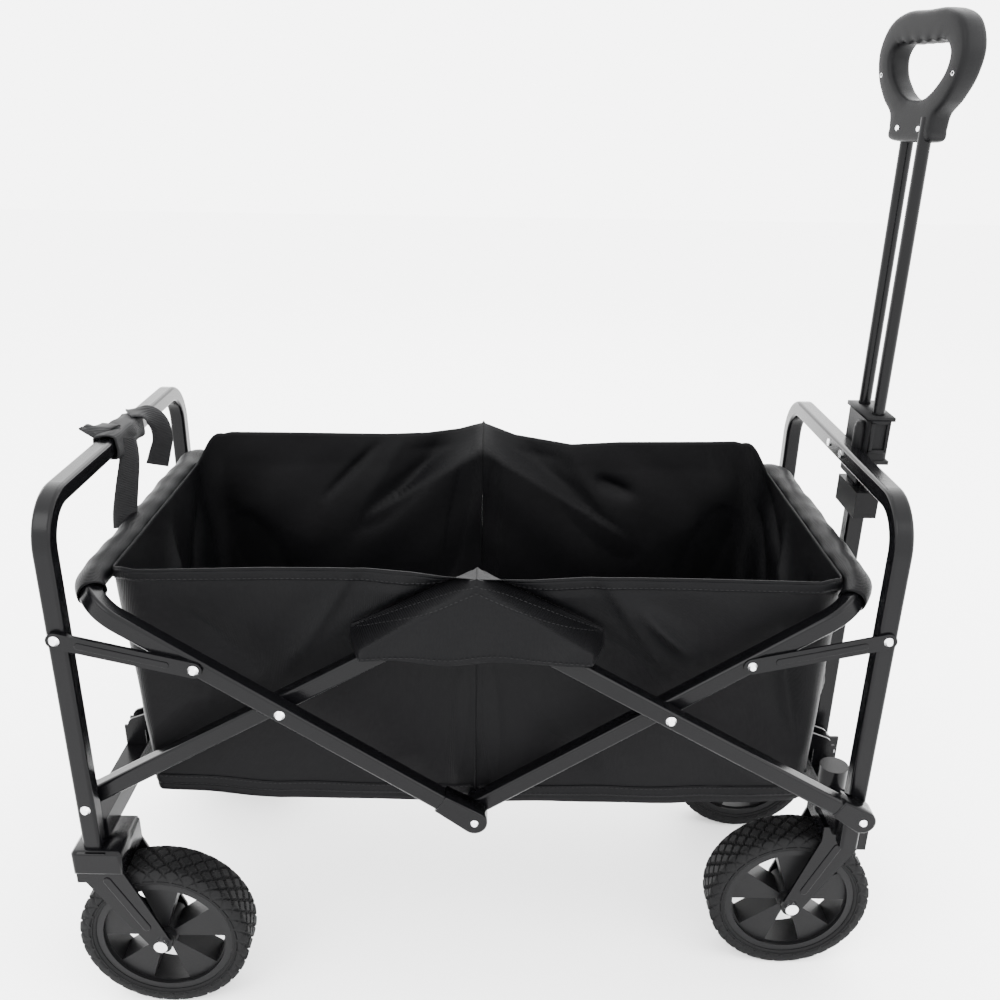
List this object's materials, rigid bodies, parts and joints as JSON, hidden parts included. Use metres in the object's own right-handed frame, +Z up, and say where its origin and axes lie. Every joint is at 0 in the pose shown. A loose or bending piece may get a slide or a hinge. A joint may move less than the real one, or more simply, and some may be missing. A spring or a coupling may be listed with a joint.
{
  "type": "folding camp wagon",
  "caption": "Folding utility wagon with a scissor-linked tube frame, open fabric tub, rolling wheels, swivelling front casters and a telescopic pull handle.",
  "frame": {"origin": "on the ground, at the middle of the whole wagon's length and width", "axes": "+X along the wagon towards the pull handle, +Z up, +Y to the left when facing the handle"},
  "size_m": [0.853, 0.4486, 0.984],
  "materials": {
    "powder_coated_steel": "black powder coat, semi-gloss",
    "bright_zinc": "bright zinc plate",
    "black_plastic": "fine moulded texture",
    "rim_plastic": "satin moulded",
    "tyre_rubber": "matte with a diamond tread",
    "black_fabric": "woven coated polyester with a low sheen"
  },
  "bodies": {
    "rear_frame": {"rear_leg_hoop": "powder_coated_steel", "rear_beam": "powder_coated_steel", "rear_frame_rivets": "bright_zinc", "rear_rail_pins": "bright_zinc", "rear_far_fork": "powder_coated_steel", "rear_near_fork": "powder_coated_steel", "rear_axle_bolts": "bright_zinc", "fabric_tub": "black_fabric", "hoop_strap": "black_fabric"},
    "rear_arms": {"rear_far_arm": "powder_coated_steel", "rear_near_arm": "powder_coated_steel", "rear_arm_rivets": "bright_zinc"},
    "rear_cradle": {"rear_cradle": "powder_coated_steel", "bottom_rivets": "bright_zinc", "bottom_spreader": "powder_coated_steel"},
    "front_cradle": {"front_cradle": "powder_coated_steel"},
    "front_arms": {"front_far_arm": "powder_coated_steel", "front_near_arm": "powder_coated_steel", "front_arm_rivets": "bright_zinc"},
    "front_frame": {"front_leg_hoop": "powder_coated_steel", "front_beam": "powder_coated_steel", "front_frame_rivets": "bright_zinc", "front_rail_pins": "bright_zinc", "caster_sleeves": "powder_coated_steel", "handle_bracket": "powder_coated_steel", "handle_bolt": "bright_zinc", "hoop_clip": "black_plastic", "clip_rivets": "bright_zinc"},
    "rear_links": {"rear_far_link": "powder_coated_steel", "rear_near_link": "powder_coated_steel", "rear_link_rivets": "bright_zinc"},
    "front_links": {"front_far_link": "powder_coated_steel", "front_near_link": "powder_coated_steel", "front_link_rivets": "bright_zinc"},
    "rear_rails": {"rear_floor_rails": "powder_coated_steel", "rail_hub_bolts": "bright_zinc"},
    "front_rails": {"front_floor_rails": "powder_coated_steel"},
    "rear_cloth": {"rear_tunnel_hem": "black_fabric"},
    "front_cloth": {"front_tunnel_hem": "black_fabric"},
    "flaps": {"far_flap": "black_fabric", "near_flap": "black_fabric"},
    "handle_lower": {"handle_post": "powder_coated_steel", "handle_collar": "black_plastic"},
    "handle_upper": {"slim_tubes": "powder_coated_steel", "handle_slider": "black_plastic", "grip_back_shell": "black_plastic", "grip_front_shell": "black_plastic", "grip_screws": "bright_zinc"},
    "far_caster": {"front_far_caster_fork": "powder_coated_steel", "front_far_axle_bolt": "bright_zinc"},
    "near_caster": {"front_near_caster_fork": "powder_coated_steel", "front_near_axle_bolt": "bright_zinc"},
    "rear_far_wheel": {"rear_far_tyre": "tyre_rubber", "rear_far_rim": "rim_plastic"},
    "rear_near_wheel": {"rear_near_tyre": "tyre_rubber", "rear_near_rim": "rim_plastic"},
    "front_far_wheel": {"front_far_tyre": "tyre_rubber", "front_far_rim": "rim_plastic"},
    "front_near_wheel": {"front_near_tyre": "tyre_rubber", "front_near_rim": "rim_plastic"}
  },
  "joints": [
    {"name": "fold", "type": "hinge", "parent": "rear_frame", "child": "rear_arms", "pos_m": [-0.3945, 0, 0.257], "axis": [0, -1, 0], "range_deg": [0, 50], "deforming": ["fabric_tub", "rear_tunnel_hem", "front_tunnel_hem", "far_flap", "near_flap", "hoop_strap"]},
    {"name": "rear_cradle_turn", "type": "hinge", "parent": "rear_arms", "child": "rear_cradle", "pos_m": [-0.1965, 0, 0.37], "axis": [0, -1, 0], "range_deg": [-100, 0]},
    {"name": "front_cradle_turn", "type": "hinge", "parent": "rear_cradle", "child": "front_cradle", "pos_m": [-0.0125, 0, 0.2495], "axis": [0, -1, 0], "range_deg": [0, 100]},
    {"name": "front_arms_turn", "type": "hinge", "parent": "front_cradle", "child": "front_arms", "pos_m": [0.1715, 0, 0.37], "axis": [0, -1, 0], "range_deg": [-100, 0]},
    {"name": "front_frame_turn", "type": "hinge", "parent": "front_arms", "child": "front_frame", "pos_m": [0.3695, 0, 0.257], "axis": [0, -1, 0], "range_deg": [0, 50]},
    {"name": "rear_link_turn", "type": "hinge", "parent": "rear_frame", "child": "rear_links", "pos_m": [-0.3945, 0, 0.448], "axis": [0, -1, 0], "range_deg": [0, 90]},
    {"name": "front_link_turn", "type": "hinge", "parent": "front_frame", "child": "front_links", "pos_m": [0.3695, 0, 0.448], "axis": [0, -1, 0], "range_deg": [-90, 0]},
    {"name": "rear_rail_turn", "type": "hinge", "parent": "rear_frame", "child": "rear_rails", "pos_m": [-0.3685, 0, 0.268], "axis": [0, -1, 0], "range_deg": [0, 84]},
    {"name": "front_rail_turn", "type": "hinge", "parent": "front_frame", "child": "front_rails", "pos_m": [0.3435, 0, 0.268], "axis": [0, -1, 0], "range_deg": [-84, 0]},
    {"name": "rear_cloth_turn", "type": "hinge", "parent": "rear_cradle", "child": "rear_cloth", "pos_m": [-0.3735, 0, 0.4858], "axis": [0, -1, 0], "range_deg": [0, 50]},
    {"name": "front_cloth_turn", "type": "hinge", "parent": "front_cradle", "child": "front_cloth", "pos_m": [0.3485, 0, 0.4858], "axis": [0, -1, 0], "range_deg": [-50, 0]},
    {"name": "flap_turn", "type": "hinge", "parent": "rear_arms", "child": "flaps", "pos_m": [-0.0125, 0, 0.4905], "axis": [0, -1, 0], "range_deg": [-50, 0]},
    {"name": "handle_swing", "type": "hinge", "parent": "front_frame", "child": "handle_lower", "pos_m": [0.392, 0, 0.22], "axis": [0, 1, 0], "range_deg": [0, 95]},
    {"name": "handle_extend", "type": "slide", "parent": "handle_lower", "child": "handle_upper", "axis": [0, 0, 1], "range_m": [-0.25, 0]},
    {"name": "far_caster_swivel", "type": "hinge", "parent": "front_frame", "child": "far_caster", "pos_m": [0.3695, 0.122, 0.21], "axis": [0, 0, 1], "continuous": true},
    {"name": "near_caster_swivel", "type": "hinge", "parent": "front_frame", "child": "near_caster", "pos_m": [0.3695, -0.122, 0.21], "axis": [0, 0, 1], "continuous": true},
    {"name": "rear_far_wheel_spin", "type": "hinge", "parent": "rear_frame", "child": "rear_far_wheel", "pos_m": [-0.3375, 0.19, 0.089], "axis": [0, 1, 0], "continuous": true},
    {"name": "rear_near_wheel_spin", "type": "hinge", "parent": "rear_frame", "child": "rear_near_wheel", "pos_m": [-0.3375, -0.19, 0.089], "axis": [0, 1, 0], "continuous": true},
    {"name": "front_far_wheel_spin", "type": "hinge", "parent": "far_caster", "child": "front_far_wheel", "pos_m": [0.3375, 0.122, 0.089], "axis": [0, 1, 0], "continuous": true},
    {"name": "front_near_wheel_spin", "type": "hinge", "parent": "near_caster", "child": "front_near_wheel", "pos_m": [0.3375, -0.122, 0.089], "axis": [0, 1, 0], "continuous": true}
  ],
  "couplings": [
    {"joint": "rear_cradle_turn", "follows": "fold", "ratio": -2},
    {"joint": "front_cradle_turn", "follows": "fold", "ratio": 2},
    {"joint": "front_arms_turn", "follows": "fold", "ratio": -2},
    {"joint": "front_frame_turn", "follows": "fold", "ratio": 1},
    {"joint": "rear_link_turn", "follows": "fold", "ratio": 1.786},
    {"joint": "front_link_turn", "follows": "fold", "ratio": -1.786},
    {"joint": "rear_rail_turn", "follows": "fold", "ratio": 1.668},
    {"joint": "front_rail_turn", "follows": "fold", "ratio": -1.668},
    {"joint": "rear_cloth_turn", "follows": "fold", "ratio": 1},
    {"joint": "front_cloth_turn", "follows": "fold", "ratio": -1},
    {"joint": "flap_turn", "follows": "fold", "ratio": -1}
  ]
}
